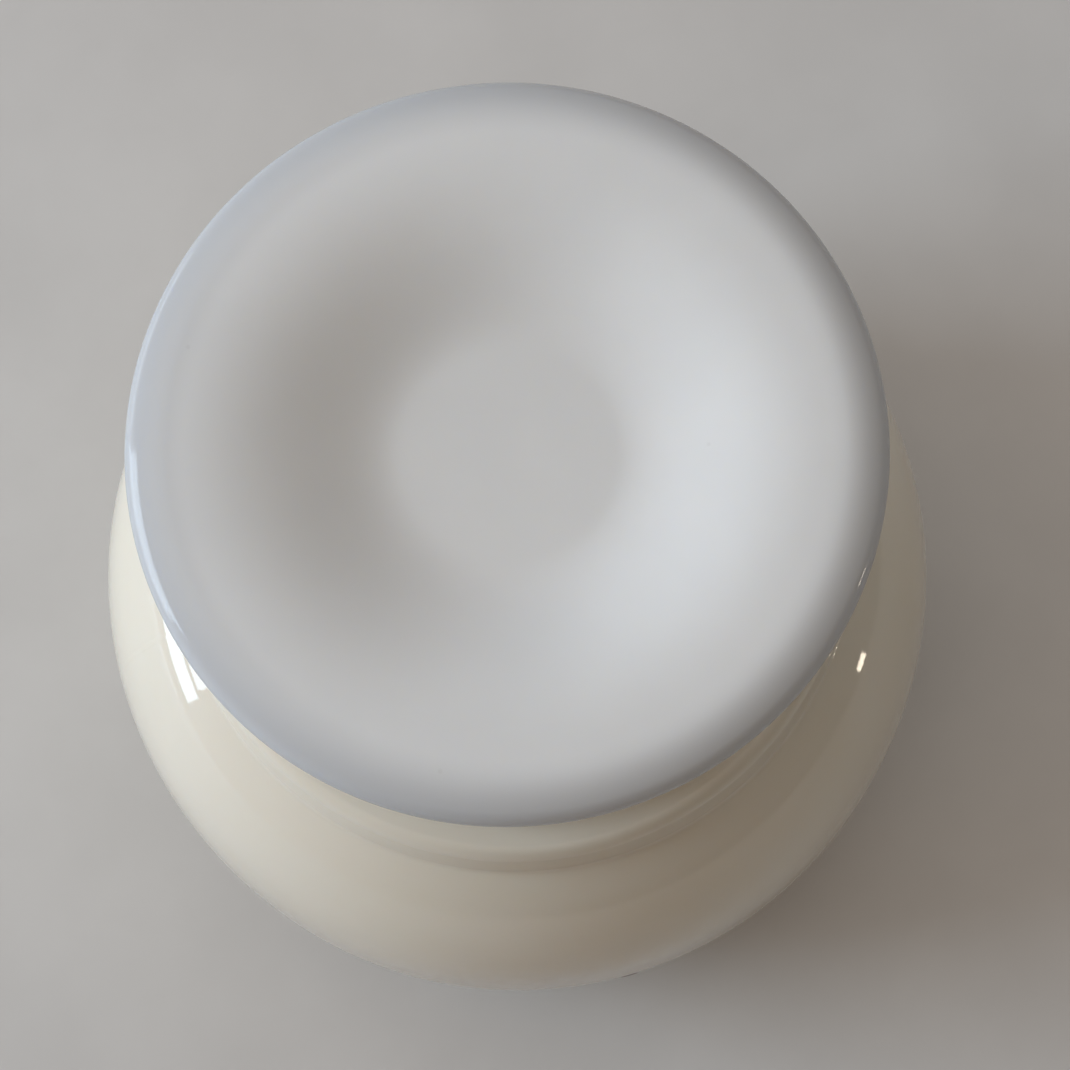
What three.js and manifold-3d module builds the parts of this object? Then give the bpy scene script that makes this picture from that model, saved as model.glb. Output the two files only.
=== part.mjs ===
// A cosmetic cream jar: a globe of opal glass with a threaded neck, a sealing disc in its mouth, and a screw
// lid of three pieces, the outer shell with its dished top, the threaded inner cap and the foam liner.
// Millimetres, +Z up. The origin is the centre of the foot, on the surface that the jar stands on.
import * as THREE from 'three';
import { mergeVertices } from 'three/addons/utils/BufferGeometryUtils.js';
import Module from 'manifold-3d';

const wasm = await Module();
wasm.setup();

// ---- driving dimensions ----
const FACETS = 48; // round a full turn
const GAP = 0.3; // between pieces that touch

// glass globe
const BELLY_R = 41.1;
const BELLY_Z = 28; // height of the widest circle
const BELLY_UP = 27.9; // half-height of the outline above it
const BELLY_UP_POWER = 3; // full shoulders: 2 would be an ellipse
const BELLY_DOWN = 33.4;
const BELLY_DOWN_POWER = 2.4;
const FOOT_R = 27; // outer edge of the flat ring that it stands on
const FOOT_INNER_R = 21.5;
const FOOT_RECESS = 1.2;
const WALL = 5;
const FLOOR = 6.5; // thickness of the glass at the bottom
const INSIDE_POWER = 2.4;
const NECK_DEPTH = 19; // from the lip down to where the inside widens

// collar between the globe and the neck, with the flat ledge on top
const COLLAR_SLOPE = 82; // degrees, at its steepest
const LEDGE_Z = 55;
const LEDGE_ROUND = 1.5;
const CREASE_R = 32.7; // where the shoulder runs into the fillet under the collar
const CREASE_SLOPE = 34.5; // degrees of the shoulder there
const CREASE_ROUND = 0.8;

// neck
const NECK_R = 23.75;
const NECK_TOP = 68.2;
const NECK_FOOT_ROUND = 1;
const LIP_ROUND = 1;
const MOUTH_R = 20.5;

// two-start thread
const LEAD = 10; // rise in one turn
const STARTS = 2;
const THREAD_HEIGHT = 1.2;
const THREAD_ROOT = 2.1; // width at the wall
const THREAD_CREST = 0.9; // width at the tip
const THREAD_SINK = 0.5; // how far a ridge is rooted in its wall
const JAR_THREAD_Z = 58.6; // centre of a ridge where it starts
const JAR_THREAD_SWEEP = 200; // degrees
const CAP_THREAD_FROM = 120;
const CAP_THREAD_SWEEP = 160;
const THREAD_FADE = 0.15; // part of its length over which a ridge's end rises from the wall

// lid shell
const RIM_R = 33;
const RIM_ROUND = 1.7; // radius of the rounded rim
const RIM_UNDER = 65; // degrees that the rounding goes on below the widest circle
const RIM_Z = 85.4; // height of the rim's widest circle
const SHOULDER_ROUND = 7; // radius of the gentle rounding between the rim and the crest of the top
const SHOULDER_TILT = 25; // degrees of slope where that rounding meets the rim's
const DISH_DEPTH = 4.6;
const DISH_FLAT_R = 9.5; // the dish is flat inside this radius
const TOP_THICK = 2.2;
const SKIRT_R = 28.4;
const SKIRT_BOTTOM = LEDGE_Z + 0.4;
const SHELL_BORE_R = 27;
const SKIRT_EDGE_ROUND = 0.5;
const SKIRT_WAIST = 0.5; // how far the skirt's curve is pulled inward, and how far below the rim
const SKIRT_WAIST_DROP = 8;

// inner cap
const CAP_R = SHELL_BORE_R - GAP;
const CAP_BORE_R = 25.35;
const CAP_BOTTOM = LEDGE_Z + 1.4;
const CAP_PLATE = 1.5;
const CROWN_THICK = 1.6;
const RIB_COUNT = 6;
const RIB_THICK = 1.2;
const RIB_HEIGHT = 4;
const HUB_R = 4;
const HUB_RISE = 0.5; // how far the hub stands above the ribs

// sealing disc and liner
const DISC_THICK = 0.8;
const DISC_FLANGE_R = 22.8;
const DISC_PLUG_R = MOUTH_R - 0.4;
const DISC_DEPTH = 3; // how far its tray hangs in the mouth
const TAB_LENGTH = 14;
const TAB_THICK = 1.4;
const TAB_TAPER = 1; // at each end, and the height of the rounded corners
const LINER_R = 23.8;
const LINER_THICK = 1.2;

// heights that follow from the stack on the lip
const FLANGE_Z = NECK_TOP + GAP;
const TRAY_Z = FLANGE_Z - DISC_DEPTH;
const LINER_Z = FLANGE_Z + DISC_THICK + GAP;
const PLATE_Z = LINER_Z + LINER_THICK + GAP;

// the crest of the lid's top, where the gentle rounding is level
const TILT = THREE.MathUtils.degToRad(SHOULDER_TILT);
const RIM_CENTRE_R = RIM_R - RIM_ROUND;
const CREST_R = RIM_CENTRE_R - (SHOULDER_ROUND - RIM_ROUND) * Math.sin(TILT);
const CREST_Z = RIM_Z - (SHOULDER_ROUND - RIM_ROUND) * Math.cos(TILT) + SHOULDER_ROUND;

// ---- outlines, as lists of (radius, height) points ----

const at = (radius, height) => new THREE.Vector2(radius, height);

// Part of a circle, between two angles in degrees. 0 points away from the axis.
function arc(centreR, centreZ, size, from, to, steps) {
  return Array.from({ length: steps + 1 }, (_, i) => {
    const angle = THREE.MathUtils.degToRad(from + ((to - from) * i) / steps);
    return at(centreR + size * Math.cos(angle), centreZ + size * Math.sin(angle));
  });
}

// Part of a bulging wall: (r / a)^power + (z / b)^power = 1 about the widest circle of the belly, between
// two radii. A negative b goes down from that circle.
function bulge(a, b, power, fromR, toR, steps) {
  const angleOf = (radius) => Math.acos((radius / a) ** (power / 2));
  const from = angleOf(fromR);
  const to = angleOf(toR);
  return Array.from({ length: steps + 1 }, (_, i) => {
    const angle = from + ((to - from) * i) / steps;
    return at(a * Math.cos(angle) ** (2 / power), BELLY_Z + b * Math.sin(angle) ** (2 / power));
  });
}

// The half-height of a bulging wall that reaches the given radius at the given height above the belly.
const bulgeHeight = (a, power, radius, height) => height / (1 - (radius / a) ** power) ** (1 / power);

// The top of the dish above its flat centre: flat at both ends, and steepest a third of the way out.
function dishTop(radius) {
  const t = THREE.MathUtils.clamp((radius - DISH_FLAT_R) / (CREST_R - DISH_FLAT_R), 0, 1);
  const rise = t * t * (6 - 8 * t + 3 * t * t);
  return CREST_Z - DISH_DEPTH * (1 - rise);
}

function dishPoints(from, to, steps, drop) {
  return Array.from({ length: steps + 1 }, (_, i) => {
    const radius = from + ((to - from) * i) / steps;
    return at(radius, dishTop(radius) - drop);
  });
}

// ---- solids ----

// A LatheGeometry turned so that its axis is Z.
function lathe(points) {
  return new THREE.LatheGeometry(points, FACETS).rotateX(Math.PI / 2);
}

function toManifold(geometry) {
  const bare = geometry.clone();
  bare.deleteAttribute('normal');
  bare.deleteAttribute('uv');
  const merged = mergeVertices(bare);
  const index = [];
  for (let i = 0; i < merged.index.count; i += 3) {
    const corner = [0, 1, 2].map((k) => merged.index.getX(i + k));
    if (new Set(corner).size === 3) index.push(...corner);
  }
  return new wasm.Manifold(new wasm.Mesh({
    numProp: 3,
    vertProperties: new Float32Array(merged.attributes.position.array),
    triVerts: new Uint32Array(index),
  }));
}

function toGeometry(manifold) {
  const mesh = manifold.getMesh();
  const geometry = new THREE.BufferGeometry();
  geometry.setAttribute('position', new THREE.BufferAttribute(mesh.vertProperties, 3));
  geometry.setIndex(new THREE.BufferAttribute(mesh.triVerts, 1));
  geometry.computeVertexNormals();
  return geometry;
}

const join = (geometries) => toGeometry(geometries.map(toManifold).reduce((all, one) => all.add(one)));

// One ridge of the thread on a round wall: a straight bar whose ends sink into the wall, wound into a helix.
// side is 1 for a ridge outside a neck and -1 for one inside a bore.
function ridge(wallR, side, fromDegrees, sweepDegrees, fromZ) {
  const section = new THREE.Shape([
    at(-THREAD_SINK, -THREAD_ROOT / 2),
    at(0, -THREAD_ROOT / 2),
    at(THREAD_HEIGHT, -THREAD_CREST / 2),
    at(THREAD_HEIGHT, THREAD_CREST / 2),
    at(0, THREAD_ROOT / 2),
    at(-THREAD_SINK, THREAD_ROOT / 2),
  ]);
  const steps = Math.ceil(sweepDegrees / 6);
  const bar = new THREE.ExtrudeGeometry(section, { depth: 1, steps, bevelEnabled: false });
  const place = bar.attributes.position;
  for (let i = 0; i < place.count; i++) {
    const along = place.getZ(i);
    const fade = Math.min(1, along / THREAD_FADE, (1 - along) / THREAD_FADE);
    const sunk = -THREAD_SINK / 2;
    const height = place.getX(i) < 0 ? place.getX(i) : sunk + (place.getX(i) - sunk) * fade;
    const radius = wallR + side * height;
    const turn = THREE.MathUtils.degToRad(fromDegrees + along * sweepDegrees);
    const rise = (LEAD * along * sweepDegrees) / 360;
    place.setXYZ(i, radius * Math.cos(turn), radius * Math.sin(turn), fromZ + rise - side * place.getY(i));
  }
  return bar;
}

// A ridge for each start of the thread.
function ridges(wallR, side, fromDegrees, sweepDegrees, fromZ) {
  return Array.from({ length: STARTS }, (_, start) =>
    ridge(wallR, side, fromDegrees + (360 * start) / STARTS, sweepDegrees, fromZ));
}

// ---- the pieces ----

// The wall from the end of the shoulder up to the ledge: a fillet, a steep cone and a rounded edge.
function collar(shoulderEnd) {
  const slope = THREE.MathUtils.degToRad(COLLAR_SLOPE);
  const start = THREE.MathUtils.degToRad(CREASE_SLOPE);
  const filletR = shoulderEnd.x + CREASE_ROUND * Math.sin(start);
  const filletZ = shoulderEnd.y + CREASE_ROUND * Math.cos(start);
  const fillet = arc(filletR, filletZ, CREASE_ROUND, 270 - CREASE_SLOPE, 270 - COLLAR_SLOPE, 2).slice(1);
  const edgeZ = LEDGE_Z - LEDGE_ROUND;
  const coneRise = edgeZ + LEDGE_ROUND * Math.cos(slope) - fillet.at(-1).y;
  const edgeR = fillet.at(-1).x - coneRise / Math.tan(slope) - LEDGE_ROUND * Math.sin(slope);
  return [...fillet, ...arc(edgeR, edgeZ, LEDGE_ROUND, 90 - COLLAR_SLOPE, 90, 3)];
}

// The globe, its ledge and its neck, open from the mouth down to the floor inside.
function jarBody() {
  const shoulder = bulge(BELLY_R, BELLY_UP, BELLY_UP_POWER, BELLY_R, CREASE_R, 7);
  const insideR = BELLY_R - WALL;
  const insideUp = bulgeHeight(insideR, INSIDE_POWER, MOUTH_R, NECK_TOP - NECK_DEPTH - BELLY_Z);
  const profile = [
    at(0, FOOT_RECESS),
    at(FOOT_INNER_R - FOOT_RECESS, FOOT_RECESS),
    at(FOOT_INNER_R, 0),
    at(FOOT_R - 1, 0),
    ...bulge(BELLY_R, -BELLY_DOWN, BELLY_DOWN_POWER, FOOT_R, BELLY_R, 5),
    ...shoulder.slice(1),
    ...collar(shoulder.at(-1)),
    ...arc(NECK_R + NECK_FOOT_ROUND, LEDGE_Z + NECK_FOOT_ROUND, NECK_FOOT_ROUND, -90, -180, 1),
    ...arc(NECK_R - LIP_ROUND, NECK_TOP - LIP_ROUND, LIP_ROUND, 0, 90, 2),
    ...arc(MOUTH_R + LIP_ROUND, NECK_TOP - LIP_ROUND, LIP_ROUND, 90, 180, 2),
    ...bulge(insideR, insideUp, INSIDE_POWER, MOUTH_R, insideR, 5),
    ...bulge(insideR, FLOOR - BELLY_Z, INSIDE_POWER, insideR, 0, 5).slice(1),
  ];
  return join([lathe(profile), ...ridges(NECK_R, 1, 0, JAR_THREAD_SWEEP, JAR_THREAD_Z)]);
}

// The outer lid: a rounded rim wider than its skirt, and a top that sinks to a flat centre.
function lidShell() {
  const rim = arc(RIM_CENTRE_R, RIM_Z, RIM_ROUND, -RIM_UNDER, 90 - SHOULDER_TILT, 6);
  const shoulder = arc(CREST_R, CREST_Z - SHOULDER_ROUND, SHOULDER_ROUND, 90 - SHOULDER_TILT, 90, 3);
  const sweepOut = new THREE.QuadraticBezierCurve(
    at(SKIRT_R, SKIRT_BOTTOM + SKIRT_EDGE_ROUND),
    at(SKIRT_R - SKIRT_WAIST, RIM_Z - SKIRT_WAIST_DROP),
    rim[0],
  ).getPoints(4);
  return lathe([
    at(0, dishTop(0) - TOP_THICK),
    ...dishPoints(DISH_FLAT_R, SHELL_BORE_R, 5, TOP_THICK),
    at(SHELL_BORE_R, SKIRT_BOTTOM),
    at(SKIRT_R - SKIRT_EDGE_ROUND, SKIRT_BOTTOM),
    ...sweepOut.slice(0, -1),
    ...rim,
    ...shoulder.slice(1),
    ...dishPoints(CREST_R, DISH_FLAT_R, 8, 0).slice(1),
    at(0, dishTop(0)),
  ]);
}

// The threaded cap inside the lid, with a crown that carries the shell and ribs on its plate.
function innerCap() {
  const crownTop = dishTop(CAP_R - CROWN_THICK) - TOP_THICK - GAP;
  const cup = lathe([
    at(0, PLATE_Z),
    at(CAP_BORE_R, PLATE_Z),
    at(CAP_BORE_R, CAP_BOTTOM),
    at(CAP_R, CAP_BOTTOM),
    at(CAP_R, crownTop),
    at(CAP_R - CROWN_THICK, crownTop),
    at(CAP_R - CROWN_THICK, PLATE_Z + CAP_PLATE),
    at(0, PLATE_Z + CAP_PLATE),
  ]);
  const rootZ = PLATE_Z + CAP_PLATE / 2;
  const ribLength = 2 * (CAP_R - CROWN_THICK / 2);
  const ribHeight = CAP_PLATE / 2 + RIB_HEIGHT;
  const hubHeight = ribHeight + HUB_RISE;
  const ribs = Array.from({ length: RIB_COUNT / 2 }, (_, i) =>
    new THREE.BoxGeometry(ribLength, RIB_THICK, ribHeight)
      .translate(0, 0, rootZ + ribHeight / 2)
      .rotateZ((2 * Math.PI * i) / RIB_COUNT));
  const hub = new THREE.CylinderGeometry(HUB_R, HUB_R, hubHeight, FACETS / 2)
    .rotateX(Math.PI / 2)
    .translate(0, 0, rootZ + hubHeight / 2);
  const threadZ = JAR_THREAD_Z + (LEAD * CAP_THREAD_FROM) / 360 - LEAD / STARTS / 2;
  return join([cup, hub, ...ribs, ...ridges(CAP_BORE_R, -1, CAP_THREAD_FROM, CAP_THREAD_SWEEP, threadZ)]);
}

// The foam wad between the inner cap and the lip.
function liner() {
  return lathe([
    at(0, LINER_Z),
    at(LINER_R, LINER_Z),
    at(LINER_R, LINER_Z + LINER_THICK),
    at(0, LINER_Z + LINER_THICK),
  ]);
}

// A shallow tray that hangs in the mouth by its flange, with an upright tab to lift it by.
function sealingDisc() {
  const tray = lathe([
    at(0, TRAY_Z),
    at(DISC_PLUG_R - DISC_THICK, TRAY_Z),
    at(DISC_PLUG_R, TRAY_Z + DISC_THICK),
    at(DISC_PLUG_R, FLANGE_Z),
    at(DISC_FLANGE_R, FLANGE_Z),
    at(DISC_FLANGE_R, FLANGE_Z + DISC_THICK),
    at(DISC_PLUG_R - DISC_THICK, FLANGE_Z + DISC_THICK),
    at(DISC_PLUG_R - DISC_THICK * 2, TRAY_Z + DISC_THICK),
    at(0, TRAY_Z + DISC_THICK),
  ]);
  const tabHeight = DISC_DEPTH + DISC_THICK / 2;
  const shoulderX = TAB_LENGTH / 2 - TAB_TAPER;
  const tabOutline = new THREE.Shape();
  tabOutline.moveTo(-TAB_LENGTH / 2, 0);
  tabOutline.lineTo(TAB_LENGTH / 2, 0);
  tabOutline.lineTo(shoulderX, tabHeight - TAB_TAPER);
  tabOutline.quadraticCurveTo(shoulderX, tabHeight, shoulderX - TAB_TAPER, tabHeight);
  tabOutline.lineTo(TAB_TAPER - shoulderX, tabHeight);
  tabOutline.quadraticCurveTo(-shoulderX, tabHeight, -shoulderX, tabHeight - TAB_TAPER);
  tabOutline.closePath();
  const extrusion = { depth: TAB_THICK, bevelEnabled: false, curveSegments: 4 };
  const tab = new THREE.ExtrudeGeometry(tabOutline, extrusion)
    .translate(0, 0, -TAB_THICK / 2)
    .rotateX(Math.PI / 2)
    .translate(0, 0, TRAY_Z + DISC_THICK / 2);
  return join([tray, tab]);
}

// ---- materials ----
const plastic = (color, roughness) => new THREE.MeshStandardMaterial({ color, roughness, metalness: 0 });
const opalGlass = plastic('#e9e4da', 0.08);
const lidPlastic = plastic('#dfe3e8', 0.18);
const innerPlastic = plastic('#f2f2ef', 0.45);
const foam = plastic('#f0ece2', 0.95);
const discPlastic = plastic('#eceeee', 0.35);

// ---- the jar ----
const jar = new THREE.Group();
jar.name = 'cream_jar';

function addPiece(name, geometry, material) {
  const piece = new THREE.Mesh(geometry, material);
  piece.name = name;
  jar.add(piece);
}

addPiece('jar_body', jarBody(), opalGlass);
addPiece('sealing_disc', sealingDisc(), discPlastic);
addPiece('lid_liner', liner(), foam);
addPiece('lid_inner_cap', innerCap(), innerPlastic);
addPiece('lid_shell', lidShell(), lidPlastic);

export default jar;
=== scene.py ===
"""The looks of a cream jar: a globe of opal glass with a collar under its neck, a screw lid of bluish-white
plastic with a dished top, the threaded cap and the foam wad inside the lid, and a sealing disc in the mouth.
Lengths in the tables below are millimetres in the row frame, and metres everywhere else."""

import math

import bmesh
import bpy
from mathutils import Matrix, Vector


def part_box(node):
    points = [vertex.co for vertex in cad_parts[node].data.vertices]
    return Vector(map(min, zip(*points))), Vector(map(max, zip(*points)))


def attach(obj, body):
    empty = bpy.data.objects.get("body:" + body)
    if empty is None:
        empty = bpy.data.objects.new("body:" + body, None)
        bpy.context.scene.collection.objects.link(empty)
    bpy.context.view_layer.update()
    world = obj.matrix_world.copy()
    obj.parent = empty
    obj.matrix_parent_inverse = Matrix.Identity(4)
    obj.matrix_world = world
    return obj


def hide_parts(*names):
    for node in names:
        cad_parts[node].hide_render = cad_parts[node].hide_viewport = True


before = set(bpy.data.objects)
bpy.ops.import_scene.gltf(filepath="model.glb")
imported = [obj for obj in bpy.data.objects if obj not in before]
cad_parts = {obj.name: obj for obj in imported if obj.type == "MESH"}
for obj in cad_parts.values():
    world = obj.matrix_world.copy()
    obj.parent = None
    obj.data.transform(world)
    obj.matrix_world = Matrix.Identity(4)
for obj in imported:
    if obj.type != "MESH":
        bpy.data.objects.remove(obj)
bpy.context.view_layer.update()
MM = 0.001
TAU = 2 * math.pi
SEGMENTS = 360  # round a full turn


def top(node):
    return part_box(node)[1].z / MM


def bottom(node):
    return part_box(node)[0].z / MM


def radius(node):
    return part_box(node)[1].x / MM


# ---- sizes, in millimetres; the jar's design states the same ones ----
GAP = 0.3  # between pieces that touch
BELLY_R = radius("jar_body")
BELLY_Z = 28
BELLY_UP, BELLY_UP_POWER = 27.9, 3
BELLY_DOWN, BELLY_DOWN_POWER = 33.4, 2.4
FOOT_R, FOOT_INNER_R, FOOT_RECESS = 27, 21.5, 1.2
FOOT_FLAT_R = FOOT_R - 1  # outer edge of the flat ring, and the corner between it and the wall
FOOT_CORNER_R, FOOT_CORNER_Z = FOOT_R - 0.4, 0.1
RECESS_ROUND, FOOT_INNER_ROUND = 2, 0.4
KNURL_COUNT, KNURL_DEPTH, KNURL_HALF_WIDTH = 60, 0.14, 2.2  # fine grip lines moulded into the foot ring
KNURL_FROM_R, KNURL_TO_R = FOOT_INNER_R + 0.7, FOOT_R - 0.9
WALL, FLOOR, INSIDE_POWER = 5, 6.5, 2.4
COLLAR_SLOPE, LEDGE_Z, LEDGE_ROUND = math.radians(82), 55, 1.5
CREASE_R, CREASE_SLOPE, CREASE_ROUND = 32.7, math.radians(34.5), 0.8
NECK_R, NECK_TOP, MOUTH_R, NECK_DEPTH = 23.75, top("jar_body"), 20.5, 19
NECK_ROUND = 1  # at its foot and on both edges of the lip

LEAD, STARTS = 10, 2
THREAD_HEIGHT, THREAD_ROOT, THREAD_CREST = 1.2, 2.1, 0.9
JAR_THREAD_Z, JAR_THREAD_SWEEP = 58.6, 200
CAP_THREAD_FROM, CAP_THREAD_SWEEP = 120, 160
THREAD_FADE = 0.15
THREAD_STEP = 0.25  # mesh step along a wall that has a thread

RIM_R, RIM_ROUND, RIM_UNDER = 33, 1.7, math.radians(65)
SHOULDER_ROUND, SHOULDER_TILT = 7, 25  # the wide rounding between the crest of the dish and the rim
CREST_Z = top("lid_shell")
TILT = math.radians(SHOULDER_TILT)
RIM_CENTRE_R = RIM_R - RIM_ROUND
CREST_R = RIM_CENTRE_R - (SHOULDER_ROUND - RIM_ROUND) * math.sin(TILT)
RIM_CENTRE_Z = CREST_Z - SHOULDER_ROUND + (SHOULDER_ROUND - RIM_ROUND) * math.cos(TILT)
DISH_DEPTH, DISH_FLAT_R, TOP_THICK = 4.6, 9.5, 2.2
SKIRT_R, SKIRT_BOTTOM, SHELL_BORE_R = 28.4, bottom("lid_shell"), 27
SKIRT_EDGE_RISE, SKIRT_WAIST, SKIRT_WAIST_DROP = 0.5, 0.5, 8

CAP_R, CAP_BORE_R, CAP_BOTTOM = radius("lid_inner_cap"), 25.35, bottom("lid_inner_cap")
CAP_TOP, CAP_PLATE, CROWN_THICK = top("lid_inner_cap"), 1.5, 1.6
RIB_COUNT, RIB_THICK, RIB_HEIGHT = 6, 1.2, 4
HUB_R, HUB_RISE, HUB_SEGMENTS = 4, 0.5, 48

LINER_R, LINER_Z, LINER_TOP = radius("lid_liner"), bottom("lid_liner"), top("lid_liner")
PRESS_DEPTH, PRESS_HALF_WIDTH = 0.12, 1.7  # the groove that the lip presses into the foam
PLATE_Z = LINER_TOP + GAP

DISC_R, DISC_Z, DISC_THICK = radius("sealing_disc"), bottom("sealing_disc"), 0.8
FLANGE_Z, PLUG_R = NECK_TOP + GAP, MOUTH_R - 0.4
TAB_LENGTH, TAB_THICK, TAB_TOP = 14, 1.4, top("sealing_disc")


# ---- outlines: lists of (radius, height, rounding of that corner) ----


def rounded(corners, steps=6):
    """A list of (radius, height) points, with each corner that has a rounding turned into an arc."""
    points = []
    for i, (r, z, rounding) in enumerate(corners):
        here = Vector((r, z))
        if not rounding or i in (0, len(corners) - 1):
            points.append(here)
            continue
        back = (Vector(corners[i - 1][:2]) - here).normalized()
        on = (Vector(corners[i + 1][:2]) - here).normalized()
        half = back.angle(on) / 2
        reach = rounding / math.tan(half)
        centre = here + (back + on).normalized() * rounding / math.sin(half)
        first = here + back * reach - centre
        last = here + on * reach - centre
        turn = first.angle_signed(last)
        for k in range(steps + 1):
            points.append(centre + Matrix.Rotation(-turn * k / steps, 2) @ first)
    return points


def dense(points, step=1.0, finer=lambda a, b: None):
    """The same outline with its long stretches cut into steps, so that its shading and bends stay smooth."""
    out = [points[0]]
    for a, b in zip(points, points[1:]):
        pieces = max(1, math.ceil((b - a).length / (finer(a, b) or step)))
        out += [a.lerp(b, (k + 1) / pieces) for k in range(pieces)]
    return out


def bulge(a, b, power, from_r, to_r, steps):
    """Part of a bulging wall about the belly's widest circle, as in the jar's design."""
    start, end = (math.acos(min(1, (r / a) ** (power / 2))) for r in (from_r, to_r))
    turns = [start + (end - start) * k / steps for k in range(steps + 1)]
    signed = math.copysign(1, b)
    return [
        (a * math.cos(t) ** (2 / power) if t < math.pi / 2 else 0,
         BELLY_Z + signed * abs(b) * abs(math.sin(t)) ** (2 / power), 0)
        for t in turns
    ]


def arc(centre_r, centre_z, size, start, end, steps):
    """Points on an arc, its angles counted in radians from straight out, upward."""
    return [(centre_r + size * math.cos(t), centre_z + size * math.sin(t), 0)
            for t in (start + (end - start) * k / steps for k in range(steps + 1))]


def smooth(x):
    """A smooth step from 0 to 1."""
    x = min(1, max(0, x))
    return x * x * (3 - 2 * x)


def dish_top(r):
    """Height of the lid's top: flat in the middle and at the crest."""
    t = min(1, max(0, (r - DISH_FLAT_R) / (CREST_R - DISH_FLAT_R)))
    return CREST_Z - DISH_DEPTH * (1 - t * t * (6 - 8 * t + 3 * t * t))


def thread(turn, z, from_degrees, sweep, from_z):
    """How far a thread's ridges stand out of their wall at one place, in millimetres."""
    height = 0
    for start in range(STARTS):
        along = (math.degrees(turn) - from_degrees - 360 * start / STARTS) % 360
        if along > sweep:
            continue
        off = abs(z - from_z - LEAD * along / 360)
        flank = smooth((THREAD_ROOT / 2 - off) / ((THREAD_ROOT - THREAD_CREST) / 2))
        ends = smooth(min(along, sweep - along) / (sweep * THREAD_FADE))
        height = max(height, THREAD_HEIGHT * flank * ends)
    return height


# ---- meshes ----


def finish_mesh(name, bm):
    bmesh.ops.recalc_face_normals(bm, faces=bm.faces)
    mesh = bpy.data.meshes.new(name)
    bm.to_mesh(mesh)
    bm.free()
    mesh.shade_smooth()
    obj = bpy.data.objects.new(name, mesh)
    bpy.context.scene.collection.objects.link(obj)
    return obj


def lathe(name, points, shift=lambda turn, r, z: (r, z), segments=SEGMENTS):
    """A closed body of revolution whose outline starts and ends on the axis. shift bends it locally."""
    bm = bmesh.new()
    rings = []
    for r, z in points:
        if r < 1e-6:
            rings.append([bm.verts.new((0, 0, z * MM))])
            continue
        ring = []
        for k in range(segments):
            turn = TAU * k / segments
            rr, zz = shift(turn, r, z)
            ring.append(bm.verts.new((rr * MM * math.cos(turn), rr * MM * math.sin(turn), zz * MM)))
        rings.append(ring)
    for low, high in zip(rings, rings[1:]):
        for k in range(segments):
            after = k + 1
            quad = (low[k % len(low)], low[after % len(low)], high[after % len(high)], high[k % len(high)])
            corners = list(dict.fromkeys(quad))
            if len(corners) > 2:
                bm.faces.new(corners)
    return finish_mesh(name, bm)


def block(name, low, high, bevel, segments=3):
    """A box between two corners, in millimetres, with rounded edges."""
    bm = bmesh.new()
    bmesh.ops.create_cube(bm, size=1)
    low, high = Vector(low) * MM, Vector(high) * MM
    bmesh.ops.scale(bm, vec=high - low, verts=bm.verts)
    bmesh.ops.translate(bm, vec=(low + high) / 2, verts=bm.verts)
    bmesh.ops.bevel(bm, geom=bm.edges[:], offset=bevel * MM, segments=segments, profile=0.5, affect="EDGES")
    return finish_mesh(name, bm)


def unite(obj, others):
    """Joins other bodies to obj, with none of their inner faces left."""
    for other in others:
        cut = obj.modifiers.new("join", "BOOLEAN")
        cut.operation, cut.solver, cut.object = "UNION", "EXACT", other
    graph = bpy.context.evaluated_depsgraph_get()
    mesh = bpy.data.meshes.new_from_object(obj.evaluated_get(graph))
    obj.modifiers.clear()
    obj.data = mesh
    for other in others:
        bpy.data.objects.remove(other)
    return obj


# ---- materials ----


class Nodes:
    """A short way to write a node tree round one Principled shader."""

    def __init__(self, name, **sockets):
        self.material = bpy.data.materials.new(name)
        self.material.use_nodes = True
        self.tree = self.material.node_tree
        self.shader = self.tree.nodes["Principled BSDF"]
        for socket, value in sockets.items():
            self.shader.inputs[socket.replace("_", " ")].default_value = value
        coordinates = self.tree.nodes.new("ShaderNodeTexCoord")
        self.place = coordinates.outputs["Object"]

    def add(self, kind, inputs=(), **settings):
        node = self.tree.nodes.new("ShaderNode" + kind)
        for key, value in settings.items():
            setattr(node, key, value)
        for key, value in dict(inputs).items():
            if hasattr(value, "is_output"):
                self.tree.links.new(value, node.inputs[key])
            else:
                node.inputs[key].default_value = value
        return node

    def link(self, output, socket):
        self.tree.links.new(output, self.shader.inputs[socket])

    def noise(self, scale, detail=2, stretch=(1, 1, 1)):
        place = self.add("Mapping", {"Vector": self.place, "Scale": stretch}).outputs["Vector"]
        return self.add("TexNoise", {"Vector": place, "Scale": scale, "Detail": detail}).outputs["Fac"]

    def math(self, operation, a, b=0.0):
        return self.add("Math", {0: a, 1: b}, operation=operation).outputs[0]

    def span(self, value, low, high, out_low=0.0, out_high=1.0):
        """A smooth step of value from low to high."""
        node = self.add("MapRange", {"Value": value, "From Min": low, "From Max": high,
                                     "To Min": out_low, "To Max": out_high}, interpolation_type="SMOOTHSTEP")
        return node.outputs["Result"]

    def blend(self, amount, a, b):
        return self.add("Mix", {0: amount, 6: a, 7: b}, data_type="RGBA").outputs[2]

    def axis_distance(self):
        """Distance from the Z axis, and height, in metres."""
        parts = self.add("SeparateXYZ", {0: self.place})
        flat = self.add("CombineXYZ", {"X": parts.outputs["X"], "Y": parts.outputs["Y"]})
        length = self.add("VectorMath", {0: flat.outputs[0]}, operation="LENGTH")
        return length.outputs["Value"], parts.outputs["Z"]

    def bump(self, height, distance, strength):
        node = self.add("Bump", {"Height": height, "Distance": distance, "Strength": strength})
        self.link(node.outputs["Normal"], "Normal")


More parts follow.
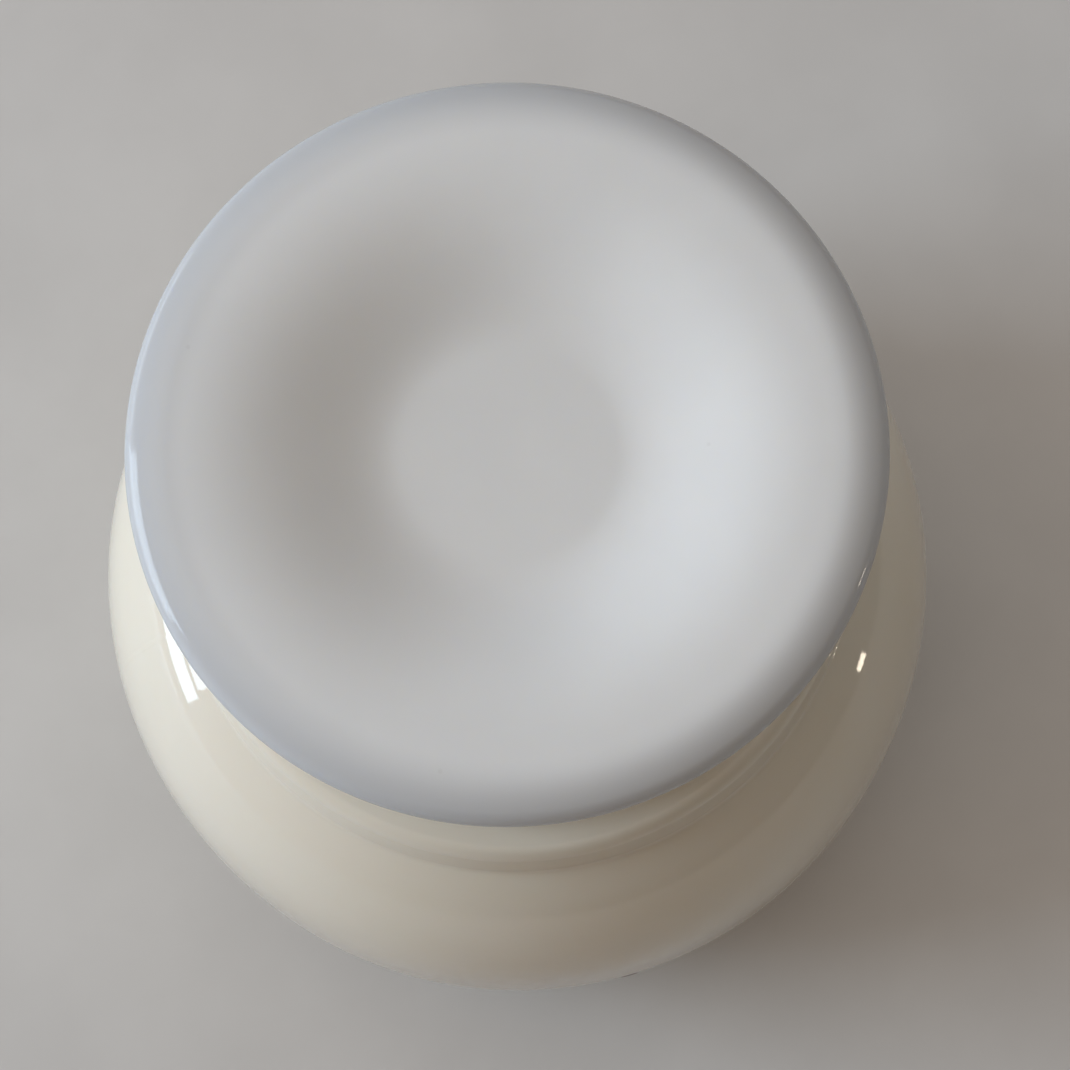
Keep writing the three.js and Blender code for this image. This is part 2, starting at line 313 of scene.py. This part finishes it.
def opal_glass():
    n = Nodes("milk_glass", Roughness=0.04, IOR=1.5, Subsurface_Weight=0.15, Subsurface_Scale=0.004,
              Subsurface_Radius=(1.0, 0.7, 0.45))
    swirl = n.noise(28, 4, (1, 1, 2.4))
    cloud = n.noise(90, 3)
    milk = n.blend(n.span(swirl, 0.35, 0.7), (0.765, 0.712, 0.60, 1), (0.785, 0.732, 0.63, 1))
    milk = n.blend(n.math("MULTIPLY", n.span(cloud, 0.4, 0.75), 0.25), milk, (0.755, 0.695, 0.57, 1))
    n.link(milk, "Base Color")
    parts = n.add("SeparateXYZ", {0: n.place})
    seam = n.span(n.math("ABSOLUTE", parts.outputs["Y"]), 0.0001, 0.00035, 1.0, 0.0)
    waves = n.noise(45, 1)
    n.bump(n.math("ADD", n.math("MULTIPLY", seam, 0.25), waves), 0.00012, 0.35)
    return n.material


def lid_plastic():
    n = Nodes("gloss_white", IOR=1.49, Specular_IOR_Level=0.3, Subsurface_Weight=0.3, Subsurface_Scale=0.004,
              Subsurface_Radius=(0.5, 0.6, 0.8))
    away, height = n.axis_distance()
    backed = n.blend(n.span(n.noise(60, 3), 0.35, 0.7), (0.775, 0.785, 0.79, 1), (0.80, 0.81, 0.815, 1))
    # The outer band of the top, from 27.5 to 32.5 mm out, is coloured darker and a little bluer: painted
    # shade where the rim turns down and away from the light.
    edge = n.span(away, 0.0275, 0.0325)
    rim = n.blend(edge, backed, (0.54, 0.552, 0.565, 1))
    specks = n.add("TexVoronoi", {"Vector": n.place, "Scale": 170.0}, feature="F1")
    dust = n.span(specks.outputs["Distance"], 0.02, 0.05, 1.0, 0.0)
    n.link(n.blend(n.math("MULTIPLY", dust, 0.1), rim, (0.35, 0.33, 0.31, 1)), "Base Color")
    scratches = n.noise(900, 2, (1, 8, 1))
    n.link(n.span(scratches, 0.3, 0.8, 0.05, 0.08), "Roughness")
    n.bump(n.noise(70, 2), 0.00008, 0.4)
    return n.material


def moulded_plastic(name, colour, darker, roughness, grain):
    n = Nodes(name, IOR=1.48, Subsurface_Weight=0.1, Subsurface_Scale=0.002)
    n.link(n.blend(n.span(n.noise(70, 3), 0.35, 0.7), darker, colour), "Base Color")
    fine = n.noise(grain, 4)
    n.link(n.span(fine, 0.3, 0.7, roughness - 0.06, roughness + 0.06), "Roughness")
    n.bump(fine, 0.00004, 0.5)
    return n.material


def foam():
    n = Nodes("foam_cells", Roughness=0.9, Sheen_Weight=0.15)
    cells = n.add("TexVoronoi", {"Vector": n.place, "Scale": 2200.0}, feature="DISTANCE_TO_EDGE")
    # The cell hollows, which the bump sinks into pits, are coloured darker than the cell walls: painted
    # shade in the pits.
    wall = n.span(cells.outputs["Distance"], 0.0, 0.25)
    n.link(n.blend(wall, (0.93, 0.91, 0.86, 1), (0.8, 0.77, 0.7, 1)), "Base Color")
    n.bump(n.math("MULTIPLY", wall, -1.0), 0.00012, 0.7)
    return n.material


def ink():
    n = Nodes("print_ink", Roughness=0.32, Coat_Weight=0.2)
    n.link(n.blend(n.span(n.noise(1500, 3), 0.4, 0.7), (0.085, 0.012, 0.016, 1), (0.12, 0.02, 0.022, 1)),
           "Base Color")
    n.bump(n.noise(1200, 2), 0.00002, 0.4)
    return n.material


def dress(piece, material, body, replaced=()):
    piece.data.materials.clear()
    piece.data.materials.append(material)
    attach(piece, body)
    if replaced:
        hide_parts(*replaced)
    return piece


# ---- the pieces ----


def collar(shoulder_r, shoulder_z):
    """The wall from the end of the shoulder up to the ledge: a fillet, a steep cone and a rounded edge."""
    fillet_r = shoulder_r + CREASE_ROUND * math.sin(CREASE_SLOPE)
    fillet_z = shoulder_z + CREASE_ROUND * math.cos(CREASE_SLOPE)
    down = math.pi * 1.5
    fillet = arc(fillet_r, fillet_z, CREASE_ROUND, down - CREASE_SLOPE, down - COLLAR_SLOPE, 12)[1:]
    foot_r, foot_z, _ = fillet[-1]
    edge_z = LEDGE_Z - LEDGE_ROUND
    cone_rise = edge_z + LEDGE_ROUND * math.cos(COLLAR_SLOPE) - foot_z
    edge_r = foot_r - cone_rise / math.tan(COLLAR_SLOPE) - LEDGE_ROUND * math.sin(COLLAR_SLOPE)
    return fillet + arc(edge_r, edge_z, LEDGE_ROUND, math.pi / 2 - COLLAR_SLOPE, math.pi / 2, 16)


def globe_outline():
    """The outside of the globe from the foot ring up to the edge of the ledge."""
    down = bulge(BELLY_R, -BELLY_DOWN, BELLY_DOWN_POWER, FOOT_R, BELLY_R, 40)
    up = bulge(BELLY_R, BELLY_UP, BELLY_UP_POWER, BELLY_R, CREASE_R, 40)
    return down[1:] + up[1:] + collar(*up[-1][:2])


def glass_jar():
    inside_r = BELLY_R - WALL
    neck_drop = NECK_TOP - NECK_DEPTH - BELLY_Z
    inside_up = neck_drop / (1 - (MOUTH_R / inside_r) ** INSIDE_POWER) ** (1 / INSIDE_POWER)
    corners = [
        (0, FOOT_RECESS, 0),
        (FOOT_INNER_R - FOOT_RECESS, FOOT_RECESS, RECESS_ROUND),
        (FOOT_INNER_R, 0, FOOT_INNER_ROUND),
        (FOOT_FLAT_R, 0, 0),
        (FOOT_CORNER_R, FOOT_CORNER_Z, 0),
        *globe_outline(),
        (NECK_R, LEDGE_Z, NECK_ROUND),
        (NECK_R, NECK_TOP, NECK_ROUND),
        (MOUTH_R, NECK_TOP, NECK_ROUND),
        *bulge(inside_r, inside_up, INSIDE_POWER, MOUTH_R, inside_r, 24),
        *bulge(inside_r, FLOOR - BELLY_Z, INSIDE_POWER, inside_r, 0, 24)[1:],
    ]

    def finer(a, b):
        return THREAD_STEP if abs(a.x - NECK_R) + abs(b.x - NECK_R) < 0.01 else None

    def shift(turn, r, z):
        if abs(r - NECK_R) < 0.01:
            return r + thread(turn, z, 0, JAR_THREAD_SWEEP, JAR_THREAD_Z), z
        if z < 0.001 and KNURL_FROM_R < r < KNURL_TO_R:
            middle = 1 - abs(r - (FOOT_INNER_R + FOOT_R) / 2) / KNURL_HALF_WIDTH
            return r, KNURL_DEPTH * smooth(middle * 2) * (0.5 - 0.5 * math.cos(KNURL_COUNT * turn))
        return r, z

    return lathe("jar_glass", dense(rounded(corners), 1, finer), shift)


def lid_outer():
    dish = [CREST_R * (1 - k / 64) for k in range(1, 65)]
    under_dish = [SHELL_BORE_R * k / 32 for k in range(32)]
    rim = arc(RIM_CENTRE_R, RIM_CENTRE_Z, RIM_ROUND, -RIM_UNDER, math.pi / 2 - TILT, 24)
    shoulder = arc(CREST_R, CREST_Z - SHOULDER_ROUND, SHOULDER_ROUND, math.pi / 2 - TILT, math.pi / 2, 12)
    start = Vector((SKIRT_R, SKIRT_BOTTOM + SKIRT_EDGE_RISE))
    pull = Vector((SKIRT_R - SKIRT_WAIST, RIM_CENTRE_Z - SKIRT_WAIST_DROP))
    end = Vector(rim[0][:2])
    sweep = [start.lerp(pull, k / 30).lerp(pull.lerp(end, k / 30), k / 30) for k in range(30)]
    corners = [
        *[(r, dish_top(r) - TOP_THICK, 0) for r in under_dish],
        (SHELL_BORE_R, dish_top(SHELL_BORE_R) - TOP_THICK, 0.4),
        (SHELL_BORE_R, SKIRT_BOTTOM, 0.25),
        (SKIRT_R, SKIRT_BOTTOM, 0.4),
        *[(p.x, p.y, 0) for p in sweep],
        *rim,
        *shoulder[1:],
        *[(r, dish_top(r), 0) for r in dish],
    ]
    return lathe("lid_outer", dense(rounded(corners), 1))


def lid_insert():
    cap_thread_z = JAR_THREAD_Z + LEAD * CAP_THREAD_FROM / 360 - LEAD / STARTS / 2
    corners = [
        (0, PLATE_Z, 0),
        (CAP_BORE_R, PLATE_Z, 0.4),
        (CAP_BORE_R, CAP_BOTTOM, 0.3),
        (CAP_R, CAP_BOTTOM, 0.3),
        (CAP_R, CAP_TOP, 0.3),
        (CAP_R - CROWN_THICK, CAP_TOP, 0.3),
        (CAP_R - CROWN_THICK, PLATE_Z + CAP_PLATE, 0.4),
        (0, PLATE_Z + CAP_PLATE, 0),
    ]

    def finer(a, b):
        return THREAD_STEP if abs(a.x - CAP_BORE_R) + abs(b.x - CAP_BORE_R) < 0.01 else None

    def shift(turn, r, z):
        if abs(r - CAP_BORE_R) < 0.01:
            return r - thread(turn, z, CAP_THREAD_FROM, CAP_THREAD_SWEEP, cap_thread_z), z
        return r, z

    cup = lathe("lid_insert", dense(rounded(corners), 1.5, finer), shift)
    low, high = PLATE_Z + CAP_PLATE / 2, PLATE_Z + CAP_PLATE + RIB_HEIGHT
    length = CAP_R - CROWN_THICK / 2
    ribs = []
    for k in range(RIB_COUNT // 2):
        rib = block(f"rib_{k}", (-length, -RIB_THICK / 2, low), (length, RIB_THICK / 2, high), 0.25)
        rib.data.transform(Matrix.Rotation(TAU * k / RIB_COUNT, 4, "Z"))
        ribs.append(rib)
    hub_top = high + HUB_RISE
    hub_corners = [(0, low, 0), (HUB_R, low, 0), (HUB_R, hub_top, 0.3), (0, hub_top, 0)]
    hub = lathe("hub", rounded(hub_corners), segments=HUB_SEGMENTS)
    return unite(cup, [hub, *ribs])


def foam_wad():
    lip = (MOUTH_R + NECK_R) / 2
    corners = [(0, LINER_Z, 0), (LINER_R, LINER_Z, 0.25), (LINER_R, LINER_TOP, 0.25), (0, LINER_TOP, 0)]

    def shift(turn, r, z):
        pressed = smooth(1 - abs(r - lip) / PRESS_HALF_WIDTH) if z < LINER_Z + 0.2 else 0
        return r, z + PRESS_DEPTH * pressed

    return lathe("foam_wad", dense(rounded(corners, 4), 0.5), shift)


def disc_tray():
    corners = [
        (0, DISC_Z, 0),
        (PLUG_R - DISC_THICK, DISC_Z, 0.3),
        (PLUG_R, DISC_Z + DISC_THICK, 0.3),
        (PLUG_R, FLANGE_Z, 0.25),
        (DISC_R, FLANGE_Z, 0.25),
        (DISC_R, FLANGE_Z + DISC_THICK, 0.25),
        (PLUG_R - DISC_THICK, FLANGE_Z + DISC_THICK, 0.4),
        (PLUG_R - DISC_THICK * 2, DISC_Z + DISC_THICK, 0.4),
        (0, DISC_Z + DISC_THICK, 0),
    ]
    tray = lathe("disc_tray", dense(rounded(corners, 5), 1))
    half, low = TAB_LENGTH / 2, DISC_Z + DISC_THICK / 2
    tab = block("tab", (-half, -TAB_THICK / 2, low), (half, TAB_THICK / 2, TAB_TOP), 0.55, 5)
    return unite(tray, [tab])


# ---- the print on the front: a small sprig of leaves ----

PRINT_TOP = 24.2
INK_PROUD, INK_SUNK = 0.03, 0.1
STEM_STEPS, FIRST_LEAF, LEAF_EVERY = 24, 3, 4
STEM_WIDTH, STEM_NARROWING = 0.28, 0.16
LEAF_LEAN = 0.75  # radians between a leaf and its stem


def glass_point(across, down, proud):
    """A point on the front of the globe: across in millimetres of arc, down from the top of the print."""
    height = PRINT_TOP - down
    r = BELLY_R * (1 - ((BELLY_Z - height) / BELLY_DOWN) ** BELLY_DOWN_POWER) ** (1 / BELLY_DOWN_POWER)
    turn = -math.pi / 2 + across / BELLY_R
    return Vector((math.cos(turn), math.sin(turn), 0)) * (r + proud) * MM + Vector((0, 0, height * MM))


def inked_shape(bm, line, widths):
    """A thin body of ink along a line of (across, down) points, as wide as widths says at each."""
    rings = []
    for i, (here, width) in enumerate(zip(line, widths)):
        along = (line[min(i + 1, len(line) - 1)] - line[max(i - 1, 0)]).normalized()
        side = Vector((-along.y, along.x)) * width / 2
        corners = [(here + side, INK_PROUD), (here - side, INK_PROUD), (here - side, -INK_SUNK),
                   (here + side, -INK_SUNK)]
        rings.append([bm.verts.new(glass_point(p.x, p.y, proud)) for p, proud in corners])
    for a, b in zip(rings, rings[1:]):
        for k in range(4):
            bm.faces.new([a[k], a[(k + 1) % 4], b[(k + 1) % 4], b[k]])
    bm.faces.new(reversed(rings[0]))
    bm.faces.new(rings[-1])


def leaf(bm, root, direction, length, width, bend=0.0, steps=14):
    """A pointed leaf, its direction in radians, that bends along its length."""
    line, widths = [], []
    for k in range(steps + 1):
        t = k / steps
        angle = direction + bend * t
        line.append(root + Vector((math.cos(angle), math.sin(angle))) * length * t)
        widths.append(0.06 + width * math.sin(math.pi * t) ** 0.8)
    inked_shape(bm, line, widths)


def front_print():
    bm = bmesh.new()
    middle = Vector((0, 1.6))
    leaf(bm, Vector((-0.8, 1.1)), -0.35, 1.7, 0.8, 0.25)
    for side in (-1, 1):
        parts = [k / STEM_STEPS for k in range(STEM_STEPS + 1)]
        stem = [Vector((side * (1.2 + 9.5 * t), 6.6 - 5.2 * t + 2.6 * t * t)) for t in parts]
        inked_shape(bm, stem, [STEM_WIDTH - STEM_NARROWING * k / STEM_STEPS for k in range(STEM_STEPS + 1)])
        for k in range(FIRST_LEAF, STEM_STEPS, LEAF_EVERY):
            on = (stem[k + 1] - stem[k]).normalized()
            heading = math.atan2(on.y, on.x)
            for lean in (-LEAF_LEAN, LEAF_LEAN):
                leaf(bm, stem[k].copy(), heading + lean, 2.3 - 0.03 * k, 0.75, -lean * 0.35)
    leaf(bm, middle + Vector((0, 3.4)), -math.pi / 2, 2.9, 1.0)
    return finish_mesh("front_print", bm)


# ---- floor, lights and camera ----

SKY_ABOVE = (0.60, 0.54, 0.47)
SKY_BEHIND = (0.10, 0.09, 0.10)
SKY_HIGH_BEHIND = (0.25, 0.28, 0.30)
SKY_LEFT = (0.40, 0.25, 0.15)
WINDOW_COLOUR = (0.64, 0.80, 0.95)
WINDOW_RADIANCE = 9.3
FAR_PANE_SHARE = 0.5  # how bright the window's far half is beside the near one
NEAR_PANE, FAR_PANE = (161.5, 191), (132, 159.5)  # directions, in degrees
BELOW_BAR, ABOVE_BAR = (2.5, 11.5), (13.5, 38)  # elevations, in degrees
LAMP_DIRECTIONS, LAMP_ELEVATIONS = (-15.2, -12), (-1.5, 2.5)
LAMP_RADIANCE, LAMP_COLOUR = 17, (1.0, 0.87, 0.70)

VIEW_TURN = -11  # degrees: the print faces this far to the camera's right
AIM = (1.93, -2.32, 60)
CAMERA_DISTANCE = 334.7
CAMERA_ELEVATION = 77.43
CAMERA_AZIMUTH = 1.52
CAMERA_ROLL = -3.30
LENS = 121.1


def turned(direction_degrees, elevation_degrees):
    """A unit vector, its direction counted anticlockwise from +X before the whole stage is turned."""
    a = math.radians(direction_degrees + VIEW_TURN)
    e = math.radians(elevation_degrees)
    return Vector((math.cos(e) * math.cos(a), math.cos(e) * math.sin(a), math.sin(e)))


def add_camera():
    data = bpy.data.cameras.new("camera")
    data.lens, data.clip_start = LENS, 0.01
    cam = bpy.data.objects.new("camera", data)
    bpy.context.scene.collection.objects.link(cam)
    aim = Matrix.Rotation(math.radians(VIEW_TURN), 3, "Z") @ (Vector(AIM) * MM)
    back = turned(-90 - CAMERA_AZIMUTH, CAMERA_ELEVATION)
    right = Vector((0, 0, 1)).cross(back).normalized()
    up = back.cross(right)
    roll = math.radians(CAMERA_ROLL)
    x = right * math.cos(roll) + up * math.sin(roll)
    turn = Matrix((x, back.cross(x), back)).transposed()
    cam.matrix_world = Matrix.Translation(aim + back * CAMERA_DISTANCE * MM) @ turn.to_4x4()
    bpy.context.scene.camera = cam


def add_panel(name, directions, elevations, radiance, colour, distance=1.2):
    """A rectangular light that faces the jar and fills a range of directions and elevations, in degrees."""
    data = bpy.data.lights.new(name, "AREA")
    data.shape = "RECTANGLE"
    direction, elevation = sum(directions) / 2, sum(elevations) / 2
    reach = 2 * distance * math.tan(math.radians(directions[1] - directions[0]) / 2)
    data.size = reach * math.cos(math.radians(elevation))
    data.size_y = 2 * distance * math.tan(math.radians(elevations[1] - elevations[0]) / 2)
    data.energy, data.color = radiance * math.pi * data.size * data.size_y, colour
    light = bpy.data.objects.new(name, data)
    bpy.context.scene.collection.objects.link(light)
    away = turned(direction, elevation)
    light.location = Vector((0, 0, 0.06)) + away * distance
    light.rotation_euler = away.to_track_quat("Z", "Y").to_euler()


def add_room():
    """Soft light in wide lobes, from above, from behind and from the left, and dark elsewhere."""
    world = bpy.data.worlds.new("room")
    bpy.context.scene.world = world
    world.use_nodes = True
    tree = world.node_tree
    place = tree.nodes.new("ShaderNodeTexCoord")
    total = None
    for direction, start, end, colour in (
        (Vector((0, 0, 1)), 0.5, 1.0, SKY_ABOVE),
        (turned(90, 0), 0.0, 0.9, SKY_BEHIND),
        (turned(90, 53), 0.5, 1.0, SKY_HIGH_BEHIND),
        (turned(180, 0), 0.0, 0.9, SKY_LEFT),
    ):
        facing = tree.nodes.new("ShaderNodeVectorMath")
        facing.operation = "DOT_PRODUCT"
        facing.inputs[1].default_value = direction
        lobe = tree.nodes.new("ShaderNodeMapRange")
        lobe.interpolation_type = "SMOOTHSTEP"
        lobe.inputs["From Min"].default_value = start
        lobe.inputs["From Max"].default_value = end
        part = tree.nodes.new("ShaderNodeVectorMath")
        part.operation = "SCALE"
        part.inputs[0].default_value = colour
        tree.links.new(place.outputs["Generated"], facing.inputs[0])
        tree.links.new(facing.outputs["Value"], lobe.inputs["Value"])
        tree.links.new(lobe.outputs["Result"], part.inputs["Scale"])
        result = part.outputs["Vector"]
        if total:
            both = tree.nodes.new("ShaderNodeVectorMath")
            tree.links.new(total, both.inputs[0])
            tree.links.new(result, both.inputs[1])
            result = both.outputs["Vector"]
        total = result
    tree.links.new(total, tree.nodes["Background"].inputs["Color"])


def add_floor():
    bm = bmesh.new()
    bmesh.ops.create_grid(bm, x_segments=8, y_segments=8, size=1.2)
    floor = finish_mesh("floor", bm)
    n = Nodes("floor_paint", Roughness=0.8)
    n.link(n.blend(n.span(n.noise(40, 4), 0.3, 0.7), (0.59, 0.57, 0.55, 1), (0.63, 0.61, 0.59, 1)),
           "Base Color")
    floor.data.materials.append(n.material)


def main():
    add_camera()
    glass, plastic = opal_glass(), lid_plastic()
    inner = moulded_plastic("satin_white", (0.86, 0.86, 0.84, 1), (0.82, 0.82, 0.8, 1), 0.42, 400)
    disc = moulded_plastic("disc_white", (0.84, 0.85, 0.85, 1), (0.79, 0.8, 0.8, 1), 0.3, 300)
    dress(glass_jar(), glass, "jar", ["jar_body"])
    dress(front_print(), ink(), "jar")
    dress(disc_tray(), disc, "disc", ["sealing_disc"])
    dress(foam_wad(), foam(), "liner", ["lid_liner"])
    dress(lid_insert(), inner, "lid", ["lid_inner_cap"])
    dress(lid_outer(), plastic, "lid", ["lid_shell"])
    add_floor()
    add_room()
    add_panel("window_near_low", NEAR_PANE, BELOW_BAR, WINDOW_RADIANCE, WINDOW_COLOUR)
    add_panel("window_near_high", NEAR_PANE, ABOVE_BAR, WINDOW_RADIANCE, WINDOW_COLOUR)
    add_panel("window_far_low", FAR_PANE, BELOW_BAR, WINDOW_RADIANCE * FAR_PANE_SHARE, WINDOW_COLOUR)
    add_panel("lamp", LAMP_DIRECTIONS, LAMP_ELEVATIONS, LAMP_RADIANCE, LAMP_COLOUR)
    bpy.context.scene.view_settings.view_transform = "Standard"


main()
